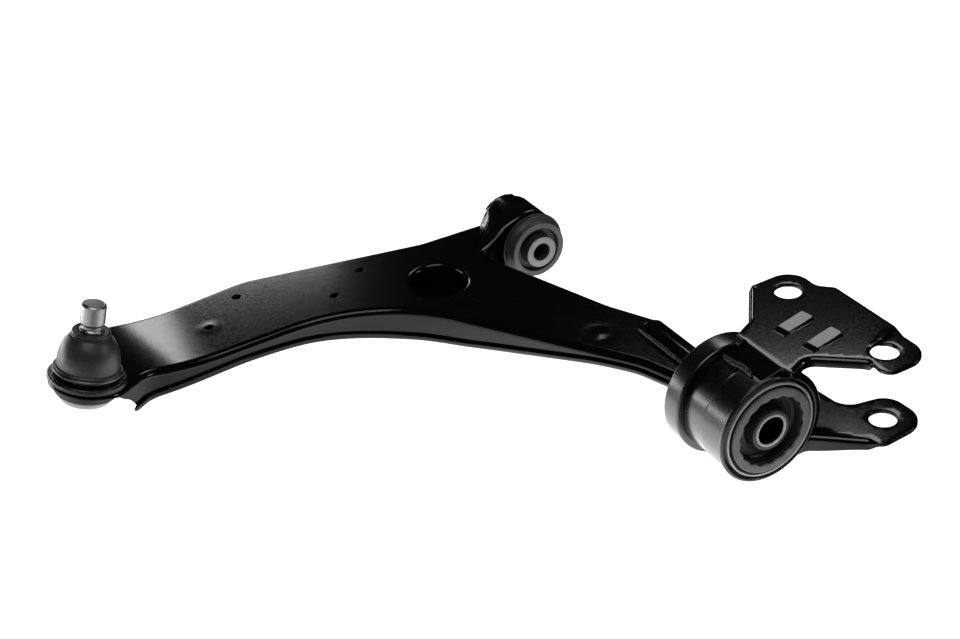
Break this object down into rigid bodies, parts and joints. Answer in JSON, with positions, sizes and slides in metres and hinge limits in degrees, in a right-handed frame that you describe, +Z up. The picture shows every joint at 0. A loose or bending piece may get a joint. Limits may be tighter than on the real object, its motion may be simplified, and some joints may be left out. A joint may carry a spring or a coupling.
{
  "type": "control arm",
  "caption": "Pressed steel front lower control arm with rubber bushes, a bolt-on bracket around the rear bush and a ball joint with a plain pinch stud.",
  "frame": {"origin": "a point on the flat top face of the rear bush's bracket, midway between its bolt holes, where the bracket bolts up against the subframe", "axes": "+X to the rear of the car along the axis that the arm swings about, +Y inboard, +Z up, square to the bracket's top face"},
  "size_m": [0.4141, 0.4908, 0.1273],
  "materials": {
    "black_paint": "gloss black electrocoat",
    "bush_rubber": "matt",
    "boot_rubber": "satin",
    "grey_rubber": "matt grey",
    "bare_steel": "turned",
    "bright_zinc": "bright zinc plated",
    "acetal": "moulded"
  },
  "bodies": {
    "bracket": {"bracket_upper_plate": "black_paint", "bracket_lower_plate": "black_paint", "rear_bush_can": "black_paint", "rear_bush_collar": "black_paint", "rear_bush_outer_sleeve": "bare_steel", "rear_bush_rubber": "bush_rubber", "rear_bush_stop_ring": "grey_rubber", "can_weld": "black_paint"},
    "arm": {"arm_upper_shell": "black_paint", "arm_lower_shell": "black_paint", "front_bush_barrel": "black_paint", "front_bush_outer_sleeve": "black_paint", "front_bush_rubber": "bush_rubber", "barrel_weld": "black_paint", "rear_spigot": "black_paint", "rear_bush_inner_sleeve": "bare_steel", "spigot_weld": "black_paint", "ball_joint_housing": "black_paint", "ball_joint_bearing": "acetal", "ball_joint_cover": "bright_zinc", "boot_clamp_ring": "bright_zinc"},
    "front_sleeve": {"front_bush_inner_sleeve": "bare_steel"},
    "boot": {"dust_boot": "boot_rubber"},
    "boot_collar": {"boot_top_ring": "bare_steel"},
    "stud": {"ball_stud": "bare_steel"}
  },
  "joints": [
    {"name": "arm_swing", "type": "hinge", "parent": "bracket", "child": "arm", "pos_m": [-0.005, -0.08, -0.042], "axis": [1, 0, 0], "range_deg": [-18, 18], "stiffness_Nm_per_rad": 160},
    {"name": "front_sleeve_turn", "type": "hinge", "parent": "arm", "child": "front_sleeve", "pos_m": [-0.29, -0.08, -0.042], "axis": [1, 0, 0], "range_deg": [-18, 18]},
    {"name": "stud_tilt_sideways", "type": "hinge", "parent": "arm", "child": "boot", "pos_m": [-0.2604, -0.43939, -0.01502], "axis": [1, 0, 0], "range_deg": [-18, 18], "deforming": ["dust_boot"]},
    {"name": "stud_tilt_lengthways", "type": "hinge", "parent": "boot", "child": "boot_collar", "pos_m": [-0.2604, -0.43939, -0.01502], "axis": [0, 0.9563, -0.2924], "range_deg": [-18, 18]},
    {"name": "stud_spin", "type": "hinge", "parent": "boot_collar", "child": "stud", "pos_m": [-0.2604, -0.43939, -0.01502], "axis": [0, 0.2924, 0.9563], "continuous": true}
  ],
  "couplings": [
    {"joint": "front_sleeve_turn", "follows": "arm_swing", "ratio": -1}
  ]
}
